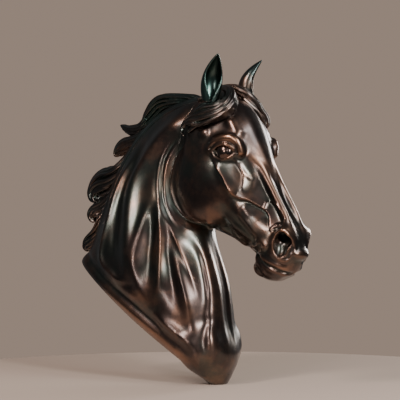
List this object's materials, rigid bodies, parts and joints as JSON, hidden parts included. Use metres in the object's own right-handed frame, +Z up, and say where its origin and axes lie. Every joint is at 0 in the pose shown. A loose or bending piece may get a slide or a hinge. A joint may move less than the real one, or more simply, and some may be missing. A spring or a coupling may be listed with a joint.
{
  "type": "horse head bust",
  "caption": "Hollow-cast bronze bust of a horse's head and neck with flowing mane, head turned aside, standing on the narrow foot of its slanted cut neck.",
  "frame": {"origin": "Middle of the flat face that the bust stands on, at the bottom of the foot.", "axes": "+Z up towards the ears, +X the way the chest faces, +Y to the horse's left. The head turns 12 degrees from +X towards -Y."},
  "size_m": [0.374, 0.1286, 0.4332],
  "materials": {
    "bronze_skin": "dark brown patina on cast bronze, copper where it is rubbed, green in the hollows",
    "bronze_hair": "dark brown patina, copper on the ridges of the strands, green between them",
    "bronze_ear": "dark brown patina with green in the cup and a rubbed rim",
    "bronze_eye": "polished dark patina",
    "bronze_plate": "flat sheet bronze, dull brown patina",
    "brass_screws": "aged brass"
  },
  "bodies": {
    "root": {"neck_casting": "bronze_skin", "head_casting": "bronze_skin", "foot_block": "bronze_skin", "cover_plate": "bronze_plate", "cover_screws": "brass_screws", "right_eye": "bronze_eye", "left_eye": "bronze_eye", "right_ear": "bronze_ear", "left_ear": "bronze_ear", "forelock_crown": "bronze_hair", "forelock_right_upper": "bronze_hair", "forelock_right_lower": "bronze_hair", "forelock_left_upper": "bronze_hair", "forelock_left_lower": "bronze_hair", "mane_root": "bronze_hair", "mane_lock_poll": "bronze_hair", "mane_lock_crest": "bronze_hair", "mane_lock_upper": "bronze_hair", "mane_lock_middle": "bronze_hair", "mane_lock_lower": "bronze_hair", "mane_lock_withers": "bronze_hair", "mane_fall_poll": "bronze_hair", "mane_fall_upper": "bronze_hair", "mane_fall_middle": "bronze_hair", "mane_fall_lower": "bronze_hair", "mane_fall_withers": "bronze_hair"}
  },
  "joints": []
}
